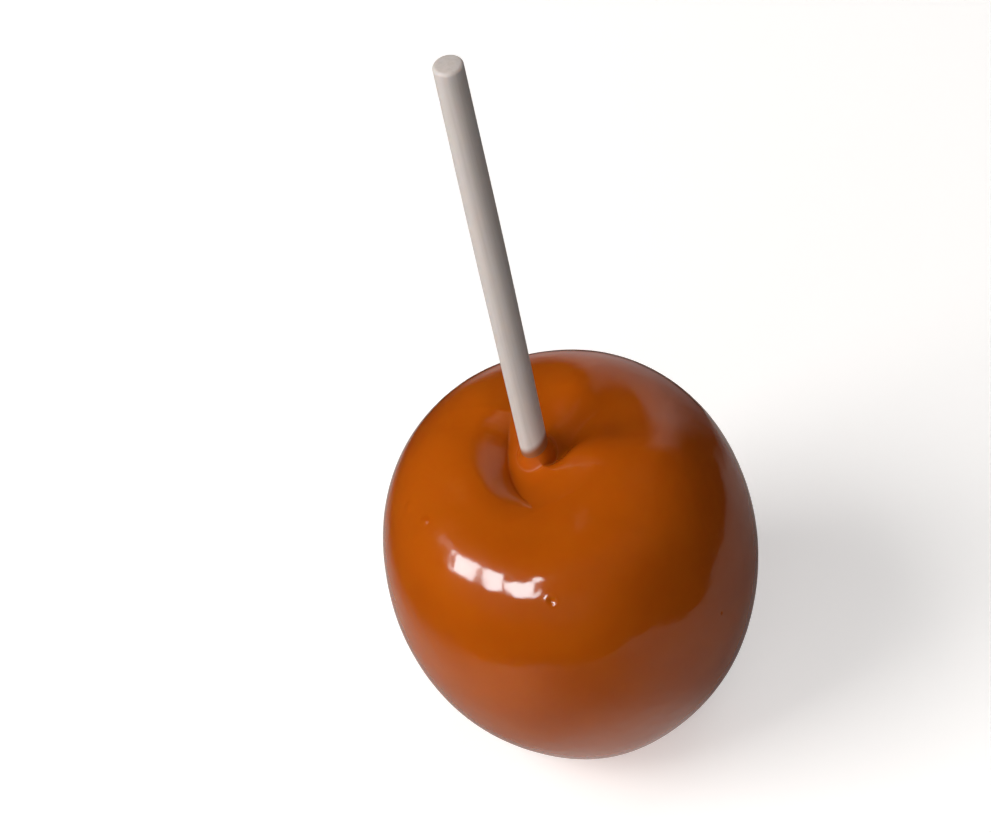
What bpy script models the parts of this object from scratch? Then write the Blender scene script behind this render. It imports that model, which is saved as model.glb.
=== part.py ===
"""A caramel apple on a wooden stick, standing on its flat foot.

The apple and its coat are one solid, because nothing of the fruit shows. It is a turned profile, moved by
rule into the uneven form of a real apple, with five lobes, a shallow dimple, two creases, low mounds and a
small cuff of caramel round the stick. Metres, +Z up. The origin is the middle of the foot. The front is -Y.
"""

import math

import bpy

MM = 0.001

# The coated apple
APPLE_RADIUS = 38.6 * MM
APPLE_HEIGHT = 78.0 * MM  # foot to the crest of the shoulders
WAIST_HEIGHT = 40.5 * MM  # where the apple is widest
CREST_RADIUS = 14.5 * MM  # of the ring where the shoulders are highest
FOOT_RADIUS = 18.3 * MM  # flat spot that the apple rests on
FOOT_ROUND = 0.9 * MM  # rounded edge of the set caramel at the foot
SHOULDER_FULLNESS = 2.18  # exponent of the curve from crest to waist; 2 is an ellipse
FLANK_FULLNESS = 1.77  # the same from waist to foot, a little leaner than an ellipse
DIMPLE_DEPTH = 3.4 * MM  # crest to the entry of the stick
DIMPLE_POWER = 1.5  # 1 is a sharp funnel, more is a rounder bowl

# The stick
STICK_LENGTH = 152.4 * MM
STICK_TOP = 178.0 * MM
STICK_RADIUS = 2.8 * MM
STICK_SWELL = 0.17 * MM  # how much thicker it is two thirds of the way up what shows
SWELL_HEIGHT = STICK_TOP - 0.3 * STICK_LENGTH
SWELL_SPREAD = 0.22 * STICK_LENGTH
STICK_SIDE = -2.3 * MM  # where it enters the apple, a little left of the middle
STICK_LEAN = 1.2 * MM  # how far its top stands off to the right from there
STICK_END_ROUND = 0.7 * MM
STICK_CLEARANCE = 0.35 * MM  # between the stick and the wall of its hole
HOLE_RADIUS = STICK_RADIUS + STICK_CLEARANCE
END_CLEARANCE = 0.4 * MM  # below its hidden end
HOLE_BOTTOM = STICK_TOP - STICK_LENGTH - END_CLEARANCE

# The caramel that climbs the stick, highest on its right
CUFF_HEIGHT = 1.5 * MM
CUFF_SLANT = 0.8 * MM
CUFF_HIGH_SIDE = math.radians(-30)
CUFF_WIDTH = 0.9 * MM  # over which it fades into the dimple
CREASE_START = HOLE_RADIUS + 1.5 * CUFF_WIDTH  # radius from which a crease is cut in full

# Uneven form: five lobes, and a top that is lower toward one side of the front
LOBES = 5
LOBE_TURN = math.radians(-22)
LOBE_RISE = 0.5 * MM  # of the crest at the middle of each lobe
LOBE_RING = 1.3 * CREST_RADIUS  # radius at which the lobes rise most
LOBE_SPREAD = 11.0 * MM
LOBE_DEPTH_FOOT = 0.3 * MM  # how far each lobe stands out at the foot
FRONT_DROP = 4.2 * MM
DROP_AZIMUTH = math.radians(-112)
DROP_START = -2.0 * MM  # measured from the stick toward the low side
DROP_END = 16.0 * MM

# Radii between which the rules for the top give way to the turned form
SWELL_START = 1.2 * CREST_RADIUS
TOP_EDGE = 1.35 * CREST_RADIUS
TOP_END = 0.92 * APPLE_RADIUS
MOUND_EDGE = 0.75 * APPLE_RADIUS
SHIFT_END = 1.7 * CREST_RADIUS

# Low mounds and hollows of the top: the middle of each, how far it reaches and how high it is
MOUNDS = (
    {"x": 11.0 * MM, "y": -19.0 * MM, "reach": 8.5 * MM, "rise": 1.0 * MM},
    {"x": -3.0 * MM, "y": -17.5 * MM, "reach": 6.5 * MM, "rise": -0.9 * MM},
    {"x": 12.5 * MM, "y": -2.5 * MM, "reach": 7.5 * MM, "rise": -0.9 * MM},
    {"x": 26.0 * MM, "y": -5.0 * MM, "reach": 5.5 * MM, "rise": 1.0 * MM},
    {"x": 6.0 * MM, "y": -5.0 * MM, "reach": 7.0 * MM, "rise": 1.6 * MM},
    {"x": 11.0 * MM, "y": -13.0 * MM, "reach": 7.0 * MM, "rise": 0.6 * MM},
    {"x": -16.0 * MM, "y": 8.0 * MM, "reach": 9.5 * MM, "rise": -0.5 * MM},
    {"x": -10.5 * MM, "y": -10.5 * MM, "reach": 9.0 * MM, "rise": 0.6 * MM},
    {"x": 9.5 * MM, "y": 6.5 * MM, "reach": 4.0 * MM, "rise": 0.6 * MM},
    {"x": 10.5 * MM, "y": 12.5 * MM, "reach": 4.0 * MM, "rise": 0.6 * MM},
)

# Broad swellings of the skin: azimuth and height of the middle, spread, and how far each stands out
SWELLINGS = (
    {"azimuth": 60, "height": 58 * MM, "turn": 45, "rise": 20 * MM, "out": 0.4 * MM},
    {"azimuth": 125, "height": 30 * MM, "turn": 40, "rise": 18 * MM, "out": -0.4 * MM},
    {"azimuth": -145, "height": 25 * MM, "turn": 45, "rise": 18 * MM, "out": 0.3 * MM},
    {"azimuth": -35, "height": 25 * MM, "turn": 45, "rise": 18 * MM, "out": -0.35 * MM},
)

# Creases in the dimple, seen from above and measured from the stick, in mm. Each is a path of stations:
# x, y, depth, and how far its walls reach to the left and to the right of the path. The fall of each wall is
# 2 where it is rounded at the bottom and 1 where it is steepest there
CREASES = (
    {
        "fall": (2.0, 0.75),
        "stations": (
            (-3.6, 9.5, 0.0, 4.0, 5.0),
            (-5.1, 5.0, 2.1, 4.2, 6.0),
            (-6.2, -1.0, 2.9, 5.0, 5.4),
            (-5.9, -6.8, 2.6, 7.0, 4.0),
            (-4.9, -11.0, 1.3, 8.0, 3.0),
            (-4.2, -15.0, 0.0, 8.0, 3.0),
        ),
    },
    {
        "fall": (2.0, 1.4),
        "stations": (
            (20.0, 6.0, 0.0, 5.5, 5.0),
            (14.5, 4.6, 0.6, 5.0, 4.4),
            (9.6, 2.6, 1.7, 4.0, 3.8),
            (6.2, 0.4, 3.0, 3.4, 3.0),
            (3.4, -2.4, 2.9, 2.6, 1.9),
            (0.8, -4.2, 0.0, 1.8, 1.5),
        ),
    },
)
STATION_STEPS = 6  # into which the path is cut between two stations

# Fineness of the solids
APPLE_TURNS = 72
WALL_RINGS = 6
DIMPLE_RINGS = 13
SHOULDER_RINGS = 13
FLANK_RINGS = 14
STICK_TURNS = 24
STICK_RINGS = 22
RING_SPACING = 1.4  # 1 is even, more packs the dimple's rings round the stick
SHARP_ANGLE = math.radians(40)  # edges sharper than this are shaded as edges
WELD = 0.00001

CARAMEL = {"colour": (0.42, 0.082, 0.002), "roughness": 0.12}
WOOD = {"colour": (0.58, 0.53, 0.50), "roughness": 0.6}


def bell(distance, width):
    """1 in the middle and 0 far off, with the given width."""
    return math.exp(-((distance / width) ** 2))


def ease(value, low, high):
    """Rises smoothly from 0 at low to 1 at high."""
    share = min(max((value - low) / (high - low), 0.0), 1.0)
    return share * share * (3 - 2 * share)


def turned_away(azimuth, other):
    """The angle from one azimuth to another, from -pi to pi."""
    return math.remainder(azimuth - other, math.tau)


def quarter(count):
    """Angles from 0 up to, and without, a quarter turn."""
    return [0.5 * math.pi * i / count for i in range(count)]


def dimple_height(r):
    """Height of the dimple's floor at r from the stick, before cuff and creases: a bowl up to the crest."""
    share = min(r / CREST_RADIUS, 1.0)
    return APPLE_HEIGHT - DIMPLE_DEPTH * math.cos(0.5 * math.pi * share) ** DIMPLE_POWER


def apple_profile():
    """Points (r, z) from the hole's bottom up its wall, over dimple and waist, to the middle of the foot."""
    entry = dimple_height(HOLE_RADIUS)
    points = [(0.0, HOLE_BOTTOM)]
    for i in range(WALL_RINGS):
        points.append((HOLE_RADIUS, HOLE_BOTTOM + (entry - HOLE_BOTTOM) * i / WALL_RINGS))
    for i in range(DIMPLE_RINGS):
        r = HOLE_RADIUS + (CREST_RADIUS - HOLE_RADIUS) * (i / DIMPLE_RINGS) ** RING_SPACING
        points.append((r, dimple_height(r)))
    for angle in quarter(SHOULDER_RINGS):
        bend = 2 / SHOULDER_FULLNESS
        r = CREST_RADIUS + (APPLE_RADIUS - CREST_RADIUS) * math.sin(angle) ** bend
        points.append((r, WAIST_HEIGHT + (APPLE_HEIGHT - WAIST_HEIGHT) * math.cos(angle) ** bend))
    for angle in quarter(FLANK_RINGS):
        bend = 2 / FLANK_FULLNESS
        r = FOOT_RADIUS + (APPLE_RADIUS - FOOT_RADIUS) * math.cos(angle) ** bend
        points.append((r, WAIST_HEIGHT - (WAIST_HEIGHT - FOOT_ROUND) * math.sin(angle) ** bend))
    for angle in quarter(3):
        r = FOOT_RADIUS - FOOT_ROUND * (1 - math.cos(angle))
        points.append((r, FOOT_ROUND * (1 - math.sin(angle))))
    points.append((FOOT_RADIUS - FOOT_ROUND, 0.0))
    points.append((0.0, 0.0))
    return points


def smooth_path(stations, steps):
    """The stations of a crease with a smooth curve between them, as a finer list of stations."""
    ends = [stations[0], *stations, stations[-1]]
    path = []
    for before, first, last, after in zip(ends, ends[1:], ends[2:], ends[3:]):
        for i in range(steps):
            t = i / steps
            weights = (
                -0.5 * t + t * t - 0.5 * t**3,
                1 - 2.5 * t * t + 1.5 * t**3,
                0.5 * t + 2 * t * t - 1.5 * t**3,
                -0.5 * t * t + 0.5 * t**3,
            )
            columns = zip(before, first, last, after)
            path.append([MM * sum(w * v for w, v in zip(weights, column)) for column in columns])
    path.append([MM * value for value in stations[-1]])
    return path


CREASE_PATHS = [(crease["fall"], smooth_path(crease["stations"], STATION_STEPS)) for crease in CREASES]


def crease_depth(x, y):
    """How far all creases together lower the dimple at x, y from the stick."""
    total = 0.0
    for fall, path in CREASE_PATHS:
        nearest = None
        for start, end in zip(path, path[1:]):
            dx = end[0] - start[0]
            dy = end[1] - start[1]
            share = ((x - start[0]) * dx + (y - start[1]) * dy) / (dx * dx + dy * dy)
            share = min(max(share, 0.0), 1.0)
            away_x = x - start[0] - share * dx
            away_y = y - start[1] - share * dy
            away = math.hypot(away_x, away_y)
            if nearest is None or away < nearest[0]:
                on_left = dx * away_y - dy * away_x > 0
                nearest = (away, on_left, share, start, end)
        away, on_left, share, start, end = nearest
        depth = max(start[2] + share * (end[2] - start[2]), 0.0)
        side = 0 if on_left else 1
        reach = start[3 + side] + share * (end[3 + side] - start[3 + side])
        total += depth * math.exp(-((away / reach) ** fall[side]))
    return total


def mound_lift(x, y):
    """Change of height on the top of the apple, by the low mounds and hollows."""
    total = 0.0
    for mound in MOUNDS:
        away = math.hypot(x - mound["x"], y - mound["y"])
        total += mound["rise"] * bell(away, mound["reach"])
    return total


def top_lift(x, y):
    """Change of height on the top of the apple, by lobes, cuff and creases."""
    r = math.hypot(x, y)
    azimuth = math.atan2(y, x)
    high_side = math.cos(turned_away(azimuth, CUFF_HIGH_SIDE))
    lift = (CUFF_HEIGHT + CUFF_SLANT * high_side) * math.exp(-max(r - HOLE_RADIUS, 0.0) / CUFF_WIDTH)
    wave = math.cos(LOBES * turned_away(azimuth, LOBE_TURN))
    lift += LOBE_RISE * wave * bell(r - LOBE_RING, LOBE_SPREAD) * ease(r, HOLE_RADIUS, CREST_RADIUS)
    return lift - crease_depth(x, y) * ease(r, HOLE_RADIUS, CREASE_START)


def front_drop(x, y):
    """How much lower the top is toward the low side of the front."""
    forward = x * math.cos(DROP_AZIMUTH) + y * math.sin(DROP_AZIMUTH)
    return FRONT_DROP * ease(forward, DROP_START, DROP_END)


def skin_swell(azimuth, z):
    """How far the skin stands out from the turned form, by five lobes at the foot and the swellings."""
    wave = math.cos(LOBES * turned_away(azimuth, LOBE_TURN))
    out = wave * LOBE_DEPTH_FOOT * ease(WAIST_HEIGHT - z, 0.0, WAIST_HEIGHT)
    for swelling in SWELLINGS:
        turn = turned_away(azimuth, math.radians(swelling["azimuth"]))
        around = bell(turn, math.radians(swelling["turn"]))
        out += swelling["out"] * around * bell(z - swelling["height"], swelling["rise"])
    return out


def stick_side(z):
    """Where the stick's axis stands at height z: it is straight, and leans about its entry."""
    entry = dimple_height(0.0)
    return STICK_SIDE + STICK_LEAN * (z - entry) / (STICK_TOP - entry)


def uneven(x, y, z):
    """Where a point of the turned form lies on the uneven one."""
    r = math.hypot(x, y)
    if r <= HOLE_RADIUS + WELD and z > HOLE_BOTTOM - MM:
        climb = top_lift(x, y) - front_drop(x, y)
        climb *= ease(z, HOLE_BOTTOM, dimple_height(HOLE_RADIUS))
        return x + stick_side(z + climb), y, z + climb
    if z > WAIST_HEIGHT:
        outside = ease(r, HOLE_RADIUS, SWELL_START)
        lift = top_lift(x, y) * (1 - ease(r, TOP_EDGE, TOP_END))
        lift -= front_drop(x, y) * (1 - ease(r, TOP_EDGE, APPLE_RADIUS))
        mounds = mound_lift(x, y) * ease(r, HOLE_RADIUS, 2 * HOLE_RADIUS)
        lift += mounds * (1 - ease(r, MOUND_EDGE, APPLE_RADIUS))
        shift = STICK_SIDE * (1 - ease(r, HOLE_RADIUS, SHIFT_END))
    else:
        outside = ease(r, 0.0, FOOT_RADIUS)
        lift = 0.0
        shift = 0.0
    swell = skin_swell(math.atan2(y, x), z) * outside / max(r, WELD)
    return x * (1 + swell) + shift, y * (1 + swell), z + lift


def stick_radius(z):
    """A hand-cut stick: a little thicker two thirds of the way up its visible part."""
    return STICK_RADIUS + STICK_SWELL * bell(z - SWELL_HEIGHT, SWELL_SPREAD)


def stick_profile():
    """Points (r, z) of the stick from its top down to its hidden end, both ends rounded over."""
    low = STICK_TOP - STICK_LENGTH
    points = [(0.0, STICK_TOP)]
    for angle in quarter(3):
        inset = STICK_END_ROUND * (1 - math.sin(angle))
        points.append((stick_radius(STICK_TOP) - inset, STICK_TOP - STICK_END_ROUND * (1 - math.cos(angle))))
    for i in range(STICK_RINGS + 1):
        z = STICK_TOP - STICK_END_ROUND - (STICK_LENGTH - 2 * STICK_END_ROUND) * i / STICK_RINGS
        points.append((stick_radius(z), z))
    for angle in reversed(quarter(3)):
        inset = STICK_END_ROUND * (1 - math.sin(angle))
        points.append((stick_radius(low) - inset, low + STICK_END_ROUND * (1 - math.cos(angle))))
    points.append((0.0, low))
    return points


def turned_mesh(name, profile, turns):
    """The mesh of a profile of (r, z), which starts and ends on the axis, turned about Z with a Screw."""
    outline = bpy.data.meshes.new(name)
    edges = [(i, i + 1) for i in range(len(profile) - 1)]
    outline.from_pydata([(r, 0.0, z) for r, z in profile], edges, [])
    lathe = bpy.data.objects.new(name, outline)
    bpy.context.scene.collection.objects.link(lathe)
    screw = lathe.modifiers.new("turned", "SCREW")
    screw.steps = screw.render_steps = turns
    screw.use_merge_vertices = True
    screw.merge_threshold = WELD
    solid = lathe.evaluated_get(bpy.context.evaluated_depsgraph_get())
    mesh = bpy.data.meshes.new_from_object(solid)
    bpy.data.objects.remove(lathe)
    bpy.data.meshes.remove(outline)
    mesh.name = name
    return mesh


def finish_material(name, finish):
    material = bpy.data.materials.new(name)
    material.use_nodes = True
    shader = material.node_tree.nodes["Principled BSDF"]
    shader.inputs["Base Color"].default_value = (*finish["colour"], 1.0)
    shader.inputs["Roughness"].default_value = finish["roughness"]
    shader.inputs["Metallic"].default_value = 0.0
    return material


def add_piece(mesh, material, collection):
    mesh.materials.append(material)
    mesh.shade_smooth()
    mesh.set_sharp_from_angle(angle=SHARP_ANGLE)
    piece = bpy.data.objects.new(mesh.name, mesh)
    collection.objects.link(piece)
    return piece


def make_coated_apple(collection):
    mesh = turned_mesh("coated_apple", apple_profile(), APPLE_TURNS)
    for vertex in mesh.vertices:
        vertex.co = uneven(*vertex.co)
    return add_piece(mesh, finish_material("caramel", CARAMEL), collection)


def make_stick(collection):
    mesh = turned_mesh("stick", stick_profile(), STICK_TURNS)
    for vertex in mesh.vertices:
        vertex.co.x += stick_side(vertex.co.z)
    return add_piece(mesh, finish_material("wood", WOOD), collection)


def main():
    for old in list(bpy.data.objects):
        bpy.data.objects.remove(old)
    collection = bpy.data.collections.new("caramel_apple")
    bpy.context.scene.collection.children.link(collection)
    make_coated_apple(collection)
    make_stick(collection)


main()
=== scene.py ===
# %% [markdown]
# # A caramel apple on a stick
#
# The real thing is a medium apple, dipped in hot caramel and stood on a sheet to set. The coat runs down
# and sets with a gloss, fills most of the dimple at the top, climbs a little way up the wooden stick, and
# ends in a small flat foot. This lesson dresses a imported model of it: the solids give the sizes and places,
# and the cells below make the two finished pieces, the coat and the stick, round them.

import math

import bmesh
import bpy
from mathutils import Matrix, Vector, noise


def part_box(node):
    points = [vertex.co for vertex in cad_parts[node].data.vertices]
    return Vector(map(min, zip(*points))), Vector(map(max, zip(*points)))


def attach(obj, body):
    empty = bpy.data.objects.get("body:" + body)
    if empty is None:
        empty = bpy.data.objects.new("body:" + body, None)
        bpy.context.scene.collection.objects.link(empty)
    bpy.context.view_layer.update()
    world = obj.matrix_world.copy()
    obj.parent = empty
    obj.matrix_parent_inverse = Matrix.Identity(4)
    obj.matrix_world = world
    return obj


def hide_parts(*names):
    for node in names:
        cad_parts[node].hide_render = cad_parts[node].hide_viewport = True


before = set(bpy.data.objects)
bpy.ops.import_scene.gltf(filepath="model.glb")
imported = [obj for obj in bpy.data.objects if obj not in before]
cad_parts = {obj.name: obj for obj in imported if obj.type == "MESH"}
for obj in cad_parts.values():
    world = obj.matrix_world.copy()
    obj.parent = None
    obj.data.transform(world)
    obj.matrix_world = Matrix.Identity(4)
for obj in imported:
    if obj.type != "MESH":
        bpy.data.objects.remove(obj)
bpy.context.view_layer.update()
MM = 0.001

# %% [markdown]
# ## Sizes
#
# The stick's ends are measured on the frame, so they can't drift from the solid. What a box can't tell,
# such as where the shoulders turn over, is repeated from the named values that the solids were made with.
# Everything is in metres, and MM keeps the small numbers readable.

# %% Driving dimensions
stick_low, stick_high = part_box("stick")

APPLE_RADIUS = 38.6 * MM
APPLE_HEIGHT = 78.0 * MM
WAIST_HEIGHT = 40.5 * MM
CREST_RADIUS = 14.5 * MM
FOOT_RADIUS = 18.3 * MM
FOOT_ROUND = 0.9 * MM
SHOULDER_FULLNESS = 2.18
FLANK_FULLNESS = 1.77
DIMPLE_DEPTH = 3.4 * MM
DIMPLE_POWER = 1.5

STICK_TOP = stick_high.z
STICK_BOTTOM = stick_low.z
STICK_LENGTH = STICK_TOP - STICK_BOTTOM
STICK_RADIUS = 2.8 * MM
STICK_SWELL = 0.17 * MM
SWELL_HEIGHT = STICK_TOP - 0.3 * STICK_LENGTH
SWELL_SPREAD = 0.22 * STICK_LENGTH
STICK_SIDE = -2.3 * MM
STICK_LEAN = 1.2 * MM
STICK_END_ROUND = 0.7 * MM
print("stick from", round(STICK_BOTTOM / MM, 1), "to", round(STICK_TOP / MM, 1), "mm")

# %% [markdown]
# ## The camera
#
# The photograph looks down on the apple at about fifty degrees from about two thirds of a metre, and is
# held slightly turned, so that the upright stick leans to the left in it. Going nearer would fill the
# picture too, but it would change the perspective. A long lens at the same distance leaves that as it was.

# %% Camera
VIEW_HEIGHT = math.radians(50)
VIEW_DISTANCE = 647 * MM
VIEW_ROLL = math.radians(14.4)
SENSOR_WIDTH = 36.0
LENS = 113.0
LOOK_AT = Vector((-0.0083, 0.0, 0.087))

apple_middle = Vector((0, 0, 0.5 * APPLE_HEIGHT))
backwards = Vector((0, -math.cos(VIEW_HEIGHT), math.sin(VIEW_HEIGHT)))
camera_data = bpy.data.cameras.new("camera")
camera_data.sensor_width = SENSOR_WIDTH
camera_data.lens = LENS
camera_data.clip_start = 0.01
camera = bpy.data.objects.new("camera", camera_data)
camera.location = apple_middle + VIEW_DISTANCE * backwards
aim = (LOOK_AT - camera.location).to_track_quat("-Z", "Y").to_matrix()
camera.rotation_euler = (aim @ Matrix.Rotation(-VIEW_ROLL, 3, "Z")).to_euler()
bpy.context.scene.collection.objects.link(camera)
bpy.context.scene.camera = camera
print("camera at", [round(v, 3) for v in camera.location])

# %% [markdown]
# ## Small helpers
#
# Shader trees are long to write out node by node, and each new mesh needs the same few lines. So the steps
# that come back again and again are short functions: an object from a bmesh, a material with its Principled
# shader, a node with its inputs set, and the few sums that draw soft edges.


# %% Objects and materials
def add_object(name, shape):
    """An object made of a bmesh, which is freed."""
    mesh = bpy.data.meshes.new(name)
    shape.to_mesh(mesh)
    shape.free()
    thing = bpy.data.objects.new(name, mesh)
    bpy.context.scene.collection.objects.link(thing)
    return thing


def new_material(name, colour, roughness):
    """A material with one Principled shader, and its tree and shader for adding nodes to."""
    material = bpy.data.materials.new(name)
    material.use_nodes = True
    shader = material.node_tree.nodes["Principled BSDF"]
    shader.inputs["Base Color"].default_value = (*colour, 1.0)
    shader.inputs["Roughness"].default_value = roughness
    return material, material.node_tree, shader


# %% Shader nodes
def add_node(tree, kind, **values):
    """A shader node with values set on its inputs, named by their labels in lower case."""
    node = tree.nodes.new(kind)
    for label, value in values.items():
        node.inputs[label.replace("_", " ").title()].default_value = value
    return node


def smooth_step(tree, source, low, high):
    """A value that rises smoothly from 0 to 1 as the source goes from low to high."""
    node = add_node(tree, "ShaderNodeMapRange", from_min=low, from_max=high)
    node.interpolation_type = "SMOOTHSTEP"
    tree.links.new(source, node.inputs["Value"])
    return node.outputs["Result"]


def mix_colours(tree, share, first, second):
    """A colour that goes from the first to the second, each a colour or another node's output."""
    node = tree.nodes.new("ShaderNodeMix")
    node.data_type = "RGBA"
    tree.links.new(share, node.inputs["Factor"])
    for socket, colour in zip((node.inputs[6], node.inputs[7]), (first, second)):
        if isinstance(colour, bpy.types.NodeSocket):
            tree.links.new(colour, socket)
        else:
            socket.default_value = colour
    return node.outputs[2]


def multiply(tree, first, second):
    """The product of two values."""
    node = tree.nodes.new("ShaderNodeMath")
    node.operation = "MULTIPLY"
    tree.links.new(first, node.inputs[0])
    tree.links.new(second, node.inputs[1])
    return node.outputs["Value"]


def compare_vector(tree, operation, source, fixed):
    """The distance of a position from a fixed place, or the dot product with a fixed direction."""
    node = tree.nodes.new("ShaderNodeVectorMath")
    node.operation = operation
    tree.links.new(source, node.inputs[0])
    node.inputs[1].default_value = fixed
    return node.outputs["Value"]


# %% Directions
def toward(azimuth, height):
    """The direction to a compass angle and a height in degrees."""
    turn = math.radians(azimuth)
    rise = math.radians(height)
    return Vector((math.cos(turn) * math.cos(rise), math.sin(turn) * math.cos(rise), math.sin(rise)))


# %% [markdown]
# ## The floor
#
# The apple stands on a plain pale floor. A glossy coat is a mirror as much as it is a colour, though, and
# the real one doesn't mirror plain white low down. One sheet can't be both, so this floor is for the camera
# alone: no mirrored or scattered light sees it, and it casts no shadow on what lies under it. A glow of its
# own keeps it evenly pale round the soft shadow.


# %% Floor
SHEET_ROUGHNESS = 0.8
SHEET_SHINE = 0.1
FLOOR_COLOUR = (0.84, 0.83, 0.82)
FLOOR_GLOW = 0.38
FLOOR_REACH = 2.0
FLOOR_CORNERS = [(-FLOOR_REACH, -FLOOR_REACH), (FLOOR_REACH, -FLOOR_REACH)]
FLOOR_CORNERS += [(FLOOR_REACH, FLOOR_REACH), (-FLOOR_REACH, FLOOR_REACH)]


def add_sheet(name, corners, height, colour):
    """A flat sheet level with the ground, with the given corners as (x, y), and its shader."""
    shape = bmesh.new()
    shape.faces.new([shape.verts.new((x, y, height)) for x, y in corners])
    sheet = add_object(name, shape)
    material, tree, shader = new_material(name, colour, SHEET_ROUGHNESS)
    shader.inputs["Specular IOR Level"].default_value = SHEET_SHINE
    sheet.data.materials.append(material)
    return sheet, shader


floor, shader = add_sheet("floor", FLOOR_CORNERS, 0.0, FLOOR_COLOUR)
shader.inputs["Emission Color"].default_value = (1, 1, 1, 1)
shader.inputs["Emission Strength"].default_value = FLOOR_GLOW
floor.visible_diffuse = False
floor.visible_glossy = False
floor.visible_shadow = False
print("floor:", 2 * FLOOR_REACH, "m wide")

# %% [markdown]
# ## The board that the coat mirrors
#
# What the coat mirrors low down is a grey board, hidden just under the floor. Its outline draws the soft
# line round the lower part of the apple, so it has a few corners more than a rectangle. The table's light and
# shade are painted on it, for the coat to mirror: it is painted lit at the left, toward the window, it has a
# painted shade in front, a painted glow next to the foot, and it fades to a painted dark at both sides and at
# its far right corner, where the apple's shadow falls. Each of these is one smooth step on a coordinate or on
# the distance from a place. A painted picture could do the same, but the steps can be moved one by one.

# %% Board
# Painted light and shade of the table for the coat to mirror: painted lit at the left, toward the window,
# grey elsewhere, a painted shade in front, and a painted dark at both sides and at the far right corner.
BOARD_PAINTED_LIT = (0.41, 0.40, 0.39, 1.0)
BOARD_GREY = (0.37, 0.36, 0.355, 1.0)
BOARD_PAINTED_SHADE = (0.14, 0.135, 0.13, 1.0)
BOARD_PAINTED_DARK = (0.01, 0.01, 0.01, 1.0)
BOARD_DROP = -0.0002
GREY_TO_PAINTED_LIT = (0.030, -0.050)
LEFT_PAINTED_DARK_FADE = (-0.120, -0.066)
RIGHT_PAINTED_DARK_FADE = (0.200, 0.130)
PAINTED_SHADOW_CORNER = (0.120, 0.125, 0.0)
PAINTED_SHADOW_FADE = (0.030, 0.075)
PAINTED_SHADE_PLACE = (-0.008, -0.106, 0.0)
PAINTED_SHADE_FADE = (0.012, 0.062)
BOARD_CORNERS = [(-0.120, 0.130), (-0.115, -0.040), (-0.082, -0.078), (-0.055, -0.112), (0.010, -0.124)]
BOARD_CORNERS += [(0.040, -0.140), (0.075, -0.120), (0.086, -0.075), (0.095, -0.055), (0.145, -0.040)]
BOARD_CORNERS += [(0.160, 0.000), (0.200, 0.095), (0.130, 0.105), (0.085, 0.090), (0.050, 0.080)]
BOARD_CORNERS += [(0.000, 0.110)]

board, shader = add_sheet("board", BOARD_CORNERS, BOARD_DROP, BOARD_GREY[:3])
board.visible_camera = False
tree = board.data.materials[0].node_tree
spot = tree.nodes.new("ShaderNodeTexCoord").outputs["Object"]
parts = tree.nodes.new("ShaderNodeSeparateXYZ")
tree.links.new(spot, parts.inputs["Vector"])
across = parts.outputs["X"]
from_painted_shadow = compare_vector(tree, "DISTANCE", spot, PAINTED_SHADOW_CORNER)
from_painted_shade = compare_vector(tree, "DISTANCE", spot, PAINTED_SHADE_PLACE)
# Painted dark at both sides of the board and a painted shadow at its far right corner, where the apple's
# shadow falls on the table behind it.
inside = multiply(tree, smooth_step(tree, across, *LEFT_PAINTED_DARK_FADE), smooth_step(tree, across, *RIGHT_PAINTED_DARK_FADE))
inside = multiply(tree, inside, smooth_step(tree, from_painted_shadow, *PAINTED_SHADOW_FADE))
plain = mix_colours(tree, smooth_step(tree, across, *GREY_TO_PAINTED_LIT), BOARD_GREY, BOARD_PAINTED_LIT)
# A painted shade on the board in front of the apple, for the coat to mirror.
with_painted_shade = mix_colours(tree, smooth_step(tree, from_painted_shade, *PAINTED_SHADE_FADE), BOARD_PAINTED_SHADE, plain)
tree.links.new(mix_colours(tree, inside, BOARD_PAINTED_DARK, with_painted_shade), shader.inputs["Base Color"])
print("board:", len(BOARD_CORNERS), "corners")

# %% Painted glow next to the foot
# Painted light: the board glows next to the foot, a pool of light on the table that the coat mirrors.
PAINTED_GLOW_COLOUR = (1.0, 0.97, 0.95, 1.0)
PAINTED_GLOW_PLACE = (0.002, -0.031, 0.0)
PAINTED_GLOW_STRENGTH = 0.30
PAINTED_GLOW_FADE = (0.032, 0.008)

near_foot = smooth_step(tree, compare_vector(tree, "DISTANCE", spot, PAINTED_GLOW_PLACE), *PAINTED_GLOW_FADE)
glow = add_node(tree, "ShaderNodeMapRange", to_max=PAINTED_GLOW_STRENGTH)
tree.links.new(near_foot, glow.inputs["Value"])
tree.links.new(glow.outputs["Result"], shader.inputs["Emission Strength"])
shader.inputs["Emission Color"].default_value = PAINTED_GLOW_COLOUR
print("glow:", PAINTED_GLOW_STRENGTH)

# %% [markdown]
# ## Light
#
# The one bright streak is a window at the left, about forty degrees up. Four panes make it, with gaps that
# break the streak where the bars are, and they are turned a little in their own plane, because the streak
# slants. A fifth, dim pane makes the streak's faint left end. The panes light the gloss alone, and four soft
# lights shade the colour and stay out of the gloss. One set of lights could do both, but then no pane could
# be moved without changing the shading.


# %% A rectangular light
def aim_light(name, azimuth, height, distance, width, tall, radiance, colour, tilt=0.0):
    """An even rectangular light, seen from the apple at a compass angle and a height in degrees."""
    data = bpy.data.lights.new(name, "AREA")
    data.shape = "RECTANGLE"
    data.size = width
    data.size_y = tall
    data.energy = radiance * math.pi * width * tall
    data.color = colour
    direction = toward(azimuth, height)
    light = bpy.data.objects.new(name, data)
    light.location = apple_middle + distance * direction
    facing = (-direction).to_track_quat("-Z", "Y").to_matrix()
    light.rotation_euler = (facing @ Matrix.Rotation(math.radians(tilt), 3, "Z")).to_euler()
    bpy.context.scene.collection.objects.link(light)
    return light


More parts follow.
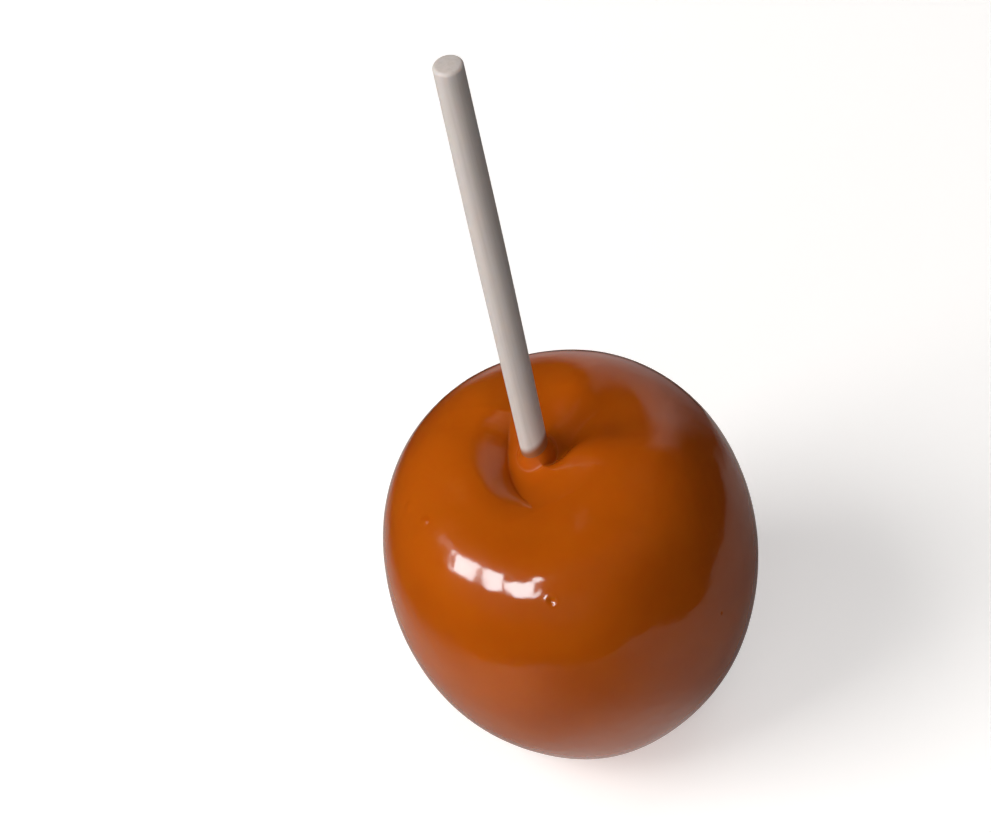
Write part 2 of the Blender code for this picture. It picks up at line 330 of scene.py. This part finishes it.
# %% Window and soft lights
WINDOW_DISTANCE = 1.4
WINDOW_TILT = 20
WINDOW_TINT = (0.80, 0.95, 1.0)
WINDOW_PANES = (
    {"azimuth": -171, "height": 36, "width": 0.34, "tall": 0.58, "radiance": 20.0},
    {"azimuth": -150, "height": 39, "width": 0.24, "tall": 0.62, "radiance": 20.0},
    {"azimuth": -129, "height": 37, "width": 0.36, "tall": 0.46, "radiance": 20.0},
    {"azimuth": -123, "height": 51, "width": 0.10, "tall": 0.16, "radiance": 20.0},
    {"azimuth": 168, "height": 41, "width": 0.28, "tall": 0.26, "radiance": 1.4},
)
SOFT_DISTANCE = 1.2
SOFT_TINT = (1.0, 0.98, 0.96)
SOFT_LIGHTS = {
    "key": {"azimuth": -174, "height": 45, "width": 0.8, "tall": 0.8, "radiance": 6.1},
    "front": {"azimuth": -126, "height": 16, "width": 2.0, "tall": 0.6, "radiance": 2.75},
    "top": {"azimuth": -62, "height": 52, "width": 1.0, "tall": 1.0, "radiance": 0.6},
    "back": {"azimuth": 55, "height": 42, "width": 1.0, "tall": 1.0, "radiance": 0.7},
}

for pane in WINDOW_PANES:
    window = aim_light("window", distance=WINDOW_DISTANCE, colour=WINDOW_TINT, tilt=WINDOW_TILT, **pane)
    window.visible_diffuse = False
for name, values in SOFT_LIGHTS.items():
    soft = aim_light(name, distance=SOFT_DISTANCE, colour=SOFT_TINT, **values)
    soft.visible_glossy = False
print("lights:", len(WINDOW_PANES), "panes and", len(SOFT_LIGHTS), "soft ones")

# %% [markdown]
# ## The room
#
# The rest of the room is dim. One slanted pale card, behind on the right, gives the pink band along the far
# rim. It is part of the world's shader, because an area light has hard edges and this band has soft ones.
# The card runs between two directions: how near a direction is to the middle of that line fades its ends,
# and how far it is off the line fades its upper and lower edges.


# %% Room
def sines(low, high):
    """The sines of two angles in degrees."""
    return math.sin(math.radians(low)), math.sin(math.radians(high))


CEILING = (0.010, 0.010, 0.010, 1.0)
WALLS = (0.016, 0.016, 0.016, 1.0)
CEILING_FADE = (0.3, 0.95)
CARD = (0.60, 0.55, 0.56, 1.0)
CARD_LOW_END = toward(80, -8)
CARD_HIGH_END = toward(37, 42)
CARD_ENDS = (math.cos(math.radians(60)), math.cos(math.radians(42)))
CARD_UPPER_EDGE = sines(-20, -4)
CARD_LOWER_EDGE = sines(40, 4)

world = bpy.data.worlds.new("room")
bpy.context.scene.world = world
world.use_nodes = True
tree = world.node_tree
place = tree.nodes.new("ShaderNodeTexCoord").outputs["Generated"]
middle = (CARD_LOW_END + CARD_HIGH_END).normalized()
side = CARD_LOW_END.cross(CARD_HIGH_END).normalized()
height = compare_vector(tree, "DOT_PRODUCT", place, (0, 0, 1))
near = compare_vector(tree, "DOT_PRODUCT", place, middle)
off = compare_vector(tree, "DOT_PRODUCT", place, side)
edges = multiply(tree, smooth_step(tree, off, *CARD_UPPER_EDGE), smooth_step(tree, off, *CARD_LOWER_EDGE))
card = multiply(tree, smooth_step(tree, near, *CARD_ENDS), edges)
dim = mix_colours(tree, smooth_step(tree, height, *CEILING_FADE), WALLS, CEILING)
tree.links.new(mix_colours(tree, card, dim, CARD), tree.nodes["Background"].inputs["Color"])
tree.nodes["Background"].inputs["Strength"].default_value = 1.0
print("card from", [round(v, 2) for v in CARD_LOW_END], "to", [round(v, 2) for v in CARD_HIGH_END])

# %% [markdown]
# ## Looks of the picture
#
# The standard view keeps the caramel's strong orange. A filmic one would wash it out.

# %% View settings
bpy.context.scene.view_settings.view_transform = "Standard"
bpy.context.scene.view_settings.look = "None"
print("view:", bpy.context.scene.view_settings.view_transform)

# %% [markdown]
# ## The coat's form
#
# An apple is nearly a turned shape, so the coat starts as one: a bowl round the stick, a full shoulder, a
# leaner flank and a flat foot. Then every point is moved by the same rules as in the solid. Five lobes
# swell the shoulder, the front is lower than the back, two creases run out from the stick, low mounds and
# hollows roll the top, and a cuff of caramel climbs the stick. Sculpting by hand would look as good, but
# rules give the same form in the solid and here, however close together the points are.
#
# A crease is a line of stations, each with its place from the stick, its depth, and how far it reaches to
# its left and to its right, all in mm. A mound has a place, a reach and a rise, and a hollow is a mound
# that falls. The hole is a little tighter than the stick, so that caramel and wood meet without a gap.

# %% Cuff, lobes and lower front
HAIR = 0.01 * MM
HOLE_RADIUS = STICK_RADIUS - 0.1 * MM
CUFF_HEIGHT = 1.5 * MM
CUFF_SLANT = 0.8 * MM
CUFF_HIGH_SIDE = math.radians(-30)
CUFF_WIDTH = 0.9 * MM
CREASE_START = HOLE_RADIUS + 1.5 * CUFF_WIDTH
LOBES = 5
LOBE_TURN = math.radians(-22)
LOBE_RISE = 0.5 * MM
LOBE_RING = 1.3 * CREST_RADIUS
LOBE_SPREAD = 11.0 * MM
LOBE_DEPTH_FOOT = 0.3 * MM
FRONT_DROP = 4.2 * MM
DROP_AZIMUTH = math.radians(-112)
DROP_START = -2.0 * MM
DROP_END = 16.0 * MM
SWELL_START = 1.2 * CREST_RADIUS
TOP_EDGE = 1.35 * CREST_RADIUS
TOP_END = 0.92 * APPLE_RADIUS
SHIFT_END = 1.7 * CREST_RADIUS
print("lobes:", LOBES, "front lower by", round(FRONT_DROP / MM, 1), "mm")

# %% Mounds and hollows
MOUND_EDGE = 0.75 * APPLE_RADIUS
MOUNDS = (
    {"x": 11.0 * MM, "y": -19.0 * MM, "reach": 8.5 * MM, "rise": 1.0 * MM},
    {"x": -3.0 * MM, "y": -17.5 * MM, "reach": 6.5 * MM, "rise": -0.9 * MM},
    {"x": 12.5 * MM, "y": -2.5 * MM, "reach": 7.5 * MM, "rise": -0.9 * MM},
    {"x": 26.0 * MM, "y": -5.0 * MM, "reach": 5.5 * MM, "rise": 1.0 * MM},
    {"x": 6.0 * MM, "y": -5.0 * MM, "reach": 7.0 * MM, "rise": 1.6 * MM},
    {"x": 11.0 * MM, "y": -13.0 * MM, "reach": 7.0 * MM, "rise": 0.6 * MM},
    {"x": -16.0 * MM, "y": 8.0 * MM, "reach": 9.5 * MM, "rise": -0.5 * MM},
    {"x": -10.5 * MM, "y": -10.5 * MM, "reach": 9.0 * MM, "rise": 0.6 * MM},
    {"x": 9.5 * MM, "y": 6.5 * MM, "reach": 4.0 * MM, "rise": 0.6 * MM},
    {"x": 10.5 * MM, "y": 12.5 * MM, "reach": 4.0 * MM, "rise": 0.6 * MM},
)
print("mounds and hollows:", len(MOUNDS))

# %% Swellings of the flank
SWELLINGS = (
    {"azimuth": 60, "height": 58 * MM, "turn": 45, "rise": 20 * MM, "out": 0.4 * MM},
    {"azimuth": 125, "height": 30 * MM, "turn": 40, "rise": 18 * MM, "out": -0.4 * MM},
    {"azimuth": -145, "height": 25 * MM, "turn": 45, "rise": 18 * MM, "out": 0.3 * MM},
    {"azimuth": -35, "height": 25 * MM, "turn": 45, "rise": 18 * MM, "out": -0.35 * MM},
)
print("swellings:", len(SWELLINGS))

# %% Creases
CREASES = (
    {
        "fall": (2.0, 0.75),
        "stations": (
            (-3.6, 9.5, 0.0, 4.0, 5.0),
            (-5.1, 5.0, 2.1, 4.2, 6.0),
            (-6.2, -1.0, 2.9, 5.0, 5.4),
            (-5.9, -6.8, 2.6, 7.0, 4.0),
            (-4.9, -11.0, 1.3, 8.0, 3.0),
            (-4.2, -15.0, 0.0, 8.0, 3.0),
        ),
    },
    {
        "fall": (2.0, 1.4),
        "stations": (
            (20.0, 6.0, 0.0, 5.5, 5.0),
            (14.5, 4.6, 0.6, 5.0, 4.4),
            (9.6, 2.6, 1.7, 4.0, 3.8),
            (6.2, 0.4, 3.0, 3.4, 3.0),
            (3.4, -2.4, 2.9, 2.6, 1.9),
            (0.8, -4.2, 0.0, 1.8, 1.5),
        ),
    },
)
STATION_STEPS = 6
print("creases:", len(CREASES))


# %% Curves that the rules are made of
def bell(distance, width):
    """1 in the middle and 0 far off, with the given width."""
    return math.exp(-((distance / width) ** 2))


def ease(value, low, high):
    """Rises smoothly from 0 at low to 1 at high."""
    share = min(max((value - low) / (high - low), 0.0), 1.0)
    return share * share * (3 - 2 * share)


def turned_away(azimuth, other):
    """The angle from one azimuth to another, from -pi to pi."""
    return math.remainder(azimuth - other, math.tau)


def quarter(count):
    """Angles from 0 up to, and without, a quarter turn."""
    return [0.5 * math.pi * i / count for i in range(count)]


# %% Dimple and creases
def dimple_height(r):
    """Height of the dimple's floor at r from the stick: a bowl up to the crest."""
    share = min(r / CREST_RADIUS, 1.0)
    return APPLE_HEIGHT - DIMPLE_DEPTH * math.cos(0.5 * math.pi * share) ** DIMPLE_POWER


def smooth_path(stations, steps):
    """The stations of a crease with a smooth curve between them, as a finer list of stations."""
    ends = [stations[0], *stations, stations[-1]]
    path = []
    for before, first, last, after in zip(ends, ends[1:], ends[2:], ends[3:]):
        for i in range(steps):
            t = i / steps
            weights = (
                -0.5 * t + t * t - 0.5 * t**3,
                1 - 2.5 * t * t + 1.5 * t**3,
                0.5 * t + 2 * t * t - 1.5 * t**3,
                -0.5 * t * t + 0.5 * t**3,
            )
            columns = zip(before, first, last, after)
            path.append([MM * sum(w * v for w, v in zip(weights, column)) for column in columns])
    path.append([MM * value for value in stations[-1]])
    return path


CREASE_PATHS = [(crease["fall"], smooth_path(crease["stations"], STATION_STEPS)) for crease in CREASES]


def crease_depth(x, y):
    """How far all creases together lower the dimple at x, y from the stick."""
    total = 0.0
    for fall, path in CREASE_PATHS:
        nearest = None
        for start, end in zip(path, path[1:]):
            dx = end[0] - start[0]
            dy = end[1] - start[1]
            share = ((x - start[0]) * dx + (y - start[1]) * dy) / (dx * dx + dy * dy)
            share = min(max(share, 0.0), 1.0)
            away_x = x - start[0] - share * dx
            away_y = y - start[1] - share * dy
            away = math.hypot(away_x, away_y)
            if nearest is None or away < nearest[0]:
                on_left = dx * away_y - dy * away_x > 0
                nearest = (away, on_left, share, start, end)
        away, on_left, share, start, end = nearest
        depth = max(start[2] + share * (end[2] - start[2]), 0.0)
        side = 0 if on_left else 1
        reach = start[3 + side] + share * (end[3 + side] - start[3 + side])
        total += depth * math.exp(-((away / reach) ** fall[side]))
    return total


# %% Mounds, lobes, cuff and swellings
def mound_lift(x, y):
    """Change of height on the top of the apple, by the low mounds and hollows."""
    total = 0.0
    for mound in MOUNDS:
        away = math.hypot(x - mound["x"], y - mound["y"])
        total += mound["rise"] * bell(away, mound["reach"])
    return total


def top_lift(x, y):
    """Change of height on the top of the apple, by lobes, cuff and creases."""
    r = math.hypot(x, y)
    azimuth = math.atan2(y, x)
    high_side = math.cos(turned_away(azimuth, CUFF_HIGH_SIDE))
    lift = (CUFF_HEIGHT + CUFF_SLANT * high_side) * math.exp(-max(r - HOLE_RADIUS, 0.0) / CUFF_WIDTH)
    wave = math.cos(LOBES * turned_away(azimuth, LOBE_TURN))
    lift += LOBE_RISE * wave * bell(r - LOBE_RING, LOBE_SPREAD) * ease(r, HOLE_RADIUS, CREST_RADIUS)
    return lift - crease_depth(x, y) * ease(r, HOLE_RADIUS, CREASE_START)


def front_drop(x, y):
    """How much lower the top is toward the low side of the front."""
    forward = x * math.cos(DROP_AZIMUTH) + y * math.sin(DROP_AZIMUTH)
    return FRONT_DROP * ease(forward, DROP_START, DROP_END)


def skin_swell(azimuth, z):
    """How far the skin stands out from the turned form, by five lobes at the foot and the swellings."""
    wave = math.cos(LOBES * turned_away(azimuth, LOBE_TURN))
    out = wave * LOBE_DEPTH_FOOT * ease(WAIST_HEIGHT - z, 0.0, WAIST_HEIGHT)
    for swelling in SWELLINGS:
        turn = turned_away(azimuth, math.radians(swelling["azimuth"]))
        around = bell(turn, math.radians(swelling["turn"]))
        out += swelling["out"] * around * bell(z - swelling["height"], swelling["rise"])
    return out


# %% All the rules together
def stick_side(z):
    """Where the stick's axis stands at height z: it is straight, and leans about its entry."""
    entry = dimple_height(0.0)
    return STICK_SIDE + STICK_LEAN * (z - entry) / (STICK_TOP - entry)


def uneven(x, y, z):
    """Where a point of the turned form lies on the uneven one."""
    r = math.hypot(x, y)
    if r <= HOLE_RADIUS + HAIR and z > STICK_BOTTOM - MM:
        climb = top_lift(x, y) - front_drop(x, y)
        climb *= ease(z, STICK_BOTTOM, dimple_height(HOLE_RADIUS))
        return x + stick_side(z + climb), y, z + climb
    if z > WAIST_HEIGHT:
        outside = ease(r, HOLE_RADIUS, SWELL_START)
        lift = top_lift(x, y) * (1 - ease(r, TOP_EDGE, TOP_END))
        lift -= front_drop(x, y) * (1 - ease(r, TOP_EDGE, APPLE_RADIUS))
        mounds = mound_lift(x, y) * ease(r, HOLE_RADIUS, 2 * HOLE_RADIUS)
        lift += mounds * (1 - ease(r, MOUND_EDGE, APPLE_RADIUS))
        shift = STICK_SIDE * (1 - ease(r, HOLE_RADIUS, SHIFT_END))
    else:
        outside = ease(r, 0.0, FOOT_RADIUS)
        lift = 0.0
        shift = 0.0
    swell = skin_swell(math.atan2(y, x), z) * outside / max(r, HAIR)
    return x * (1 + swell) + shift, y * (1 + swell), z + lift


# %% [markdown]
# ## Turning the coat
#
# The profile runs from the bottom of the stick's hole, over dimple, crest and waist, to the middle of the
# foot, and one spin turns it. Its points are close together, since a gloss shows every flat. A subdivision
# surface would also be smooth, but it would pull the creases out of shape.


# %% Turning
def turn_profile(profile, turns):
    """The bmesh of a profile of (r, z), which starts and ends on the axis, turned about Z."""
    shape = bmesh.new()
    line = [shape.verts.new((r, 0.0, z)) for r, z in profile]
    edges = [shape.edges.new(pair) for pair in zip(line, line[1:])]
    bmesh.ops.spin(
        shape,
        geom=line + edges,
        cent=(0, 0, 0),
        axis=(0, 0, 1),
        dvec=(0, 0, 0),
        angle=math.tau,
        steps=turns,
        use_merge=True,
    )
    bmesh.ops.remove_doubles(shape, verts=shape.verts, dist=0.1 * HAIR)
    bmesh.ops.recalc_face_normals(shape, faces=shape.faces)
    for face in shape.faces:
        face.smooth = True
    return shape


# %% Turned coat
TURNS = 300
HOLE_SHARES = (0.4, 0.7, 0.85, 0.93, 0.97)
DIMPLE_RINGS = 70
SHOULDER_RINGS = 70
FLANK_RINGS = 60
FOOT_RINGS = 5
RING_SPACING = 1.4


def coat_profile():
    """Points (r, z) of the coat, from the bottom of the stick's hole to the middle of the foot."""
    entry = dimple_height(HOLE_RADIUS)
    points = [(0.0, STICK_BOTTOM), (HOLE_RADIUS, STICK_BOTTOM)]
    for share in HOLE_SHARES:
        points.append((HOLE_RADIUS, STICK_BOTTOM + (entry - STICK_BOTTOM) * share))
    for i in range(DIMPLE_RINGS):
        r = HOLE_RADIUS + (CREST_RADIUS - HOLE_RADIUS) * (i / DIMPLE_RINGS) ** RING_SPACING
        points.append((r, dimple_height(r)))
    for angle in quarter(SHOULDER_RINGS):
        bend = 2 / SHOULDER_FULLNESS
        r = CREST_RADIUS + (APPLE_RADIUS - CREST_RADIUS) * math.sin(angle) ** bend
        points.append((r, WAIST_HEIGHT + (APPLE_HEIGHT - WAIST_HEIGHT) * math.cos(angle) ** bend))
    for angle in quarter(FLANK_RINGS):
        bend = 2 / FLANK_FULLNESS
        r = FOOT_RADIUS + (APPLE_RADIUS - FOOT_RADIUS) * math.cos(angle) ** bend
        points.append((r, WAIST_HEIGHT - (WAIST_HEIGHT - FOOT_ROUND) * math.sin(angle) ** bend))
    for angle in quarter(FOOT_RINGS):
        r = FOOT_RADIUS - FOOT_ROUND * (1 - math.cos(angle))
        points.append((r, FOOT_ROUND * (1 - math.sin(angle))))
    points.append((FOOT_RADIUS - FOOT_ROUND, 0.0))
    points.append((0.0, 0.0))
    return points


shape = turn_profile(coat_profile(), TURNS)
for vertex in shape.verts:
    vertex.co = uneven(*vertex.co)
print("coat profile:", len(coat_profile()), "points, turned", TURNS, "times")

# %% [markdown]
# ## Waves and pits
#
# Set caramel isn't as smooth as glass. It has shallow waves a few millimetres long, which make the edge of
# the streak wander, and now and then a burst bubble has left a pit with a low rim, or a whole one a low
# bump, which is a pit of negative depth here. They could be a bump map, but a pit that shows has to be real
# geometry, so the faces near each are divided more finely, and then every point moves along its normal.

# %% Places of the pits
WAVES = ((9.0 * MM, 0.050 * MM), (3.8 * MM, 0.020 * MM))
PITS = (
    {"azimuth": -101, "height": 66.0 * MM, "radius": 0.85 * MM, "depth": 0.28 * MM},
    {"azimuth": -47, "height": 45.7 * MM, "radius": 0.45 * MM, "depth": 0.22 * MM},
    {"azimuth": -165, "height": 70.4 * MM, "radius": 1.1 * MM, "depth": -0.13 * MM},
    {"azimuth": -176, "height": 69.2 * MM, "radius": 1.2 * MM, "depth": -0.11 * MM},
    {"azimuth": 96, "height": 52.0 * MM, "radius": 0.5 * MM, "depth": 0.30 * MM},
    {"azimuth": 24, "height": 31.0 * MM, "radius": 0.45 * MM, "depth": 0.25 * MM},
    {"azimuth": 171, "height": 24.0 * MM, "radius": 0.5 * MM, "depth": 0.25 * MM},
)
PIT_REACH = 2.6
PIT_CUTS = 4
SAME_SIDE = 0.05


def outer_point(azimuth, height):
    """The vertex on the outside of the coat nearest to a compass angle and a height."""
    turn = math.radians(azimuth)
    best = None
    for vertex in shape.verts:
        off_turn = abs(turned_away(math.atan2(vertex.co.y, vertex.co.x), turn))
        if off_turn > SAME_SIDE or vertex.co.xy.length < CREST_RADIUS:
            continue
        off = abs(vertex.co.z - height) + off_turn * APPLE_RADIUS
        if best is None or off < best[0]:
            best = (off, vertex.co.copy())
    return best[1]


pit_places = [(outer_point(pit["azimuth"], pit["height"]), pit) for pit in PITS]
for place, pit in pit_places:
    reach = PIT_REACH * pit["radius"]
    near = [face for face in shape.faces if (face.calc_center_median() - place).length < reach]
    edges = list({edge for face in near for edge in face.edges})
    bmesh.ops.subdivide_edges(shape, edges=edges, cuts=PIT_CUTS, use_grid_fill=True)
shape.normal_update()
print("pits and bumps:", len(pit_places), "vertices:", len(shape.verts))

# %% Waves and pits
WAVE_START = Vector((7.3, 1.1, 4.2))
PIT_WIDTH = 0.8
PIT_END = 3
RIM_SHARE = 0.22
RIM_PLACE = 1.25
RIM_WIDTH = 0.45
FOOT_LEVEL = 0.02 * MM


def wave_height(point):
    """How far the waves lift the skin at a point."""
    return sum(height * noise.noise(point / length + WAVE_START) for length, height in WAVES)


def pit_depth(point):
    """How deep the pits are at a point, with a low rim round each."""
    total = 0.0
    for place, pit in pit_places:
        away = (point - place).length / pit["radius"]
        if away < PIT_END:
            rim = RIM_SHARE * bell(away - RIM_PLACE, RIM_WIDTH)
            total += pit["depth"] * (bell(away, PIT_WIDTH) - rim)
    return total


moves = []
for vertex in shape.verts:
    free = 0.0 if vertex.co.z < FOOT_LEVEL else 1.0
    moves.append(vertex.normal * free * (wave_height(vertex.co) - pit_depth(vertex.co)))
for vertex, move in zip(shape.verts, moves):
    vertex.co += move
for face in shape.faces:
    face.smooth = True
coat = add_object("coat", shape)
print("coat faces:", len(coat.data.polygons))

# %% [markdown]
# ## Caramel
#
# Caramel takes its colour from within, so the shader lets a little light in, which softens the edge of the
# shade. The colour is deep orange-brown with broad faint clouds, the gloss varies slightly, and fine
# ripples shiver what it mirrors. The cuff round the stick is duller than the rest: a collar there, by the
# distance from the stick's entry, is rougher and mirrors less. One plain colour with a clear coat would be
# quicker, but it looks like plastic.

# %% Caramel colour
CARAMEL = (0.42, 0.082, 0.002)
CARAMEL_DEEP = (0.38, 0.070, 0.0016)
CARAMEL_GLOW = 0.25
CARAMEL_GLOW_DEPTH = 1.5 * MM
CARAMEL_GLOW_TINT = (1.0, 0.3, 0.05)
COAT_SMOOTHEST = 0.095
COAT_ROUGHEST = 0.15
CLOUD_SCALE = 55.0
CLOUD_EDGES = (0.35, 0.65)

caramel, tree, shader = new_material("caramel", CARAMEL, COAT_ROUGHEST)
shader.inputs["Subsurface Weight"].default_value = CARAMEL_GLOW
shader.inputs["Subsurface Radius"].default_value = CARAMEL_GLOW_TINT
shader.inputs["Subsurface Scale"].default_value = CARAMEL_GLOW_DEPTH
place = tree.nodes.new("ShaderNodeTexCoord").outputs["Object"]
clouds = add_node(tree, "ShaderNodeTexNoise", scale=CLOUD_SCALE, detail=2.0)
tint = tree.nodes.new("ShaderNodeValToRGB")
for element, edge, colour in zip(tint.color_ramp.elements, CLOUD_EDGES, (CARAMEL_DEEP, CARAMEL)):
    element.position = edge
    element.color = (*colour, 1.0)
tree.links.new(place, clouds.inputs["Vector"])
tree.links.new(clouds.outputs["Fac"], tint.inputs["Fac"])
tree.links.new(tint.outputs["Color"], shader.inputs["Base Color"])

# %% Caramel gloss
SMEAR_SCALE = 160.0
SMEAR_EDGES = (0.3, 0.7)
COLLAR_EDGES = (STICK_RADIUS + 2.8 * MM, STICK_RADIUS + 1.4 * MM)
COLLAR_ROUGHNESS = 0.35
COAT_SHINE = 0.5
COLLAR_SHINE = 0.12

smears = add_node(tree, "ShaderNodeTexNoise", scale=SMEAR_SCALE, detail=3.0)
gloss = add_node(tree, "ShaderNodeMapRange", from_min=SMEAR_EDGES[0], from_max=SMEAR_EDGES[1])
gloss.inputs["To Min"].default_value = COAT_SMOOTHEST
gloss.inputs["To Max"].default_value = COAT_ROUGHEST
tree.links.new(place, smears.inputs["Vector"])
tree.links.new(smears.outputs["Fac"], gloss.inputs["Value"])
entry = (STICK_SIDE, 0.0, dimple_height(HOLE_RADIUS))
collar = smooth_step(tree, compare_vector(tree, "DISTANCE", place, entry), *COLLAR_EDGES)
dull = add_node(tree, "ShaderNodeMapRange", to_max=COLLAR_ROUGHNESS)
tree.links.new(collar, dull.inputs["Value"])
tree.links.new(gloss.outputs["Result"], dull.inputs["To Min"])
tree.links.new(dull.outputs["Result"], shader.inputs["Roughness"])
sheen = add_node(tree, "ShaderNodeMapRange", to_min=COAT_SHINE, to_max=COLLAR_SHINE)
tree.links.new(collar, sheen.inputs["Value"])
tree.links.new(sheen.outputs["Result"], shader.inputs["Specular IOR Level"])

# %% Caramel ripples
RIPPLE_SCALE = 330.0
RIPPLE_HEIGHT = 0.08 * MM

ripples = add_node(tree, "ShaderNodeTexNoise", scale=RIPPLE_SCALE, detail=1.0)
relief = add_node(tree, "ShaderNodeBump", strength=1.0, distance=RIPPLE_HEIGHT)
tree.links.new(place, ripples.inputs["Vector"])
tree.links.new(ripples.outputs["Fac"], relief.inputs["Height"])
tree.links.new(relief.outputs["Normal"], shader.inputs["Normal"])
coat.data.materials.append(caramel)
print("caramel:", len(tree.nodes), "nodes")

# %% [markdown]
# ## The stick
#
# The stick is a plain round wooden one, a little thicker two thirds of the way up what shows, with both
# ends rounded over. It is turned from its own profile, since a cylinder has neither the swelling nor the
# soft ends, and then leans by its own small rule, the same as in the solid.

# %% Turned stick
STICK_TURNS = 96
STICK_RINGS = 60
END_RINGS = 8


def stick_radius(z):
    """Radius of the stick at height z: it swells a little below its top."""
    return STICK_RADIUS + STICK_SWELL * bell(z - SWELL_HEIGHT, SWELL_SPREAD)


def stick_profile():
    """Points (r, z) of the stick from its top down to its hidden end, both ends rounded over."""
    points = [(0.0, STICK_TOP)]
    for angle in quarter(END_RINGS):
        inset = STICK_END_ROUND * (1 - math.sin(angle))
        points.append((stick_radius(STICK_TOP) - inset, STICK_TOP - STICK_END_ROUND * (1 - math.cos(angle))))
    for i in range(STICK_RINGS + 1):
        z = STICK_TOP - STICK_END_ROUND - (STICK_LENGTH - 2 * STICK_END_ROUND) * i / STICK_RINGS
        points.append((stick_radius(z), z))
    for angle in reversed(quarter(END_RINGS)):
        inset = STICK_END_ROUND * (1 - math.sin(angle))
        z = STICK_BOTTOM + STICK_END_ROUND * (1 - math.cos(angle))
        points.append((stick_radius(STICK_BOTTOM) - inset, z))
    points.append((0.0, STICK_BOTTOM))
    return points


shape = turn_profile(stick_profile(), STICK_TURNS)
for vertex in shape.verts:
    vertex.co.x += stick_side(vertex.co.z)
stick = add_object("stick_wood", shape)
print("stick faces:", len(stick.data.polygons))

# %% [markdown]
# ## Wood
#
# The grain runs along the stick, so the noise that draws it is stretched along Z. At the sawn end the same
# noise gives the dots of end grain, which a picture wrapped round the stick wouldn't. The lowest few
# millimetres that show have soaked up a little caramel, higher at the right, where the cuff is higher too.


# %% Grain
def add_grain(tree, width, length, seed):
    """A noise of streaks along Z, of about the given width and length in metres."""
    place = tree.nodes.new("ShaderNodeTexCoord").outputs["Object"]
    scale = (1 / width, 1 / width, 1 / length)
    stretch = add_node(tree, "ShaderNodeMapping", scale=scale, location=(seed, 0, 0))
    tree.links.new(place, stretch.inputs["Vector"])
    streaks = add_node(tree, "ShaderNodeTexNoise", scale=1.0, detail=3.0)
    tree.links.new(stretch.outputs["Vector"], streaks.inputs["Vector"])
    return streaks.outputs["Fac"]


# %% Wood
WOOD = (0.60, 0.55, 0.525)
WOOD_DARK = (0.50, 0.45, 0.42)
WOOD_STAINED = (0.29, 0.095, 0.03)
WOOD_ROUGHNESS = 0.6
WOOD_SHINE = 0.35
WOOD_GLOW = 0.5
WOOD_GLOW_DEPTH = 2.5 * MM
WOOD_GLOW_TINT = (1.0, 0.7, 0.5)
COARSE_GRAIN = {"width": 1.1 * MM, "length": 60 * MM, "seed": 3.0}
FINE_GRAIN = {"width": 0.22 * MM, "length": 9 * MM, "seed": 11.0}
GRAIN_EDGES = (0.35, 0.7)
GRAIN_HEIGHT = 0.02 * MM
STAIN_SLANT = 0.6
STAIN_LOW = dimple_height(0.0) + 2.6 * MM - STAIN_SLANT * STICK_SIDE
STAIN_HIGH = STAIN_LOW + 2.4 * MM

wood, tree, shader = new_material("wood", WOOD, WOOD_ROUGHNESS)
coarse = smooth_step(tree, add_grain(tree, **COARSE_GRAIN), *GRAIN_EDGES)
fine = add_grain(tree, **FINE_GRAIN)
streaks = mix_colours(tree, fine, (*WOOD, 1.0), (*WOOD_DARK, 1.0))
grain = mix_colours(tree, coarse, (*WOOD, 1.0), streaks)
place = tree.nodes.new("ShaderNodeTexCoord").outputs["Object"]
slanted = compare_vector(tree, "DOT_PRODUCT", place, (-STAIN_SLANT, 0.0, 1.0))
soaked = smooth_step(tree, slanted, STAIN_HIGH, STAIN_LOW)
tree.links.new(mix_colours(tree, soaked, grain, (*WOOD_STAINED, 1.0)), shader.inputs["Base Color"])
relief = add_node(tree, "ShaderNodeBump", strength=0.5, distance=GRAIN_HEIGHT)
tree.links.new(fine, relief.inputs["Height"])
tree.links.new(relief.outputs["Normal"], shader.inputs["Normal"])
shader.inputs["Specular IOR Level"].default_value = WOOD_SHINE
shader.inputs["Subsurface Weight"].default_value = WOOD_GLOW
shader.inputs["Subsurface Radius"].default_value = WOOD_GLOW_TINT
shader.inputs["Subsurface Scale"].default_value = WOOD_GLOW_DEPTH
stick.data.materials.append(wood)
print("wood:", len(tree.nodes), "nodes")

# %% [markdown]
# ## Fitting the pieces to the model
#
# A caramel apple has nothing that moves, so the model has one body, and both pieces ride on it. Each stands
# for its plain solid, which stays behind for weight and collision.

# %% Ride
for piece, node, slot in ((coat, "coated_apple", "caramel"), (stick, "stick", "wood")):
    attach(piece, "root")
    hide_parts(node)
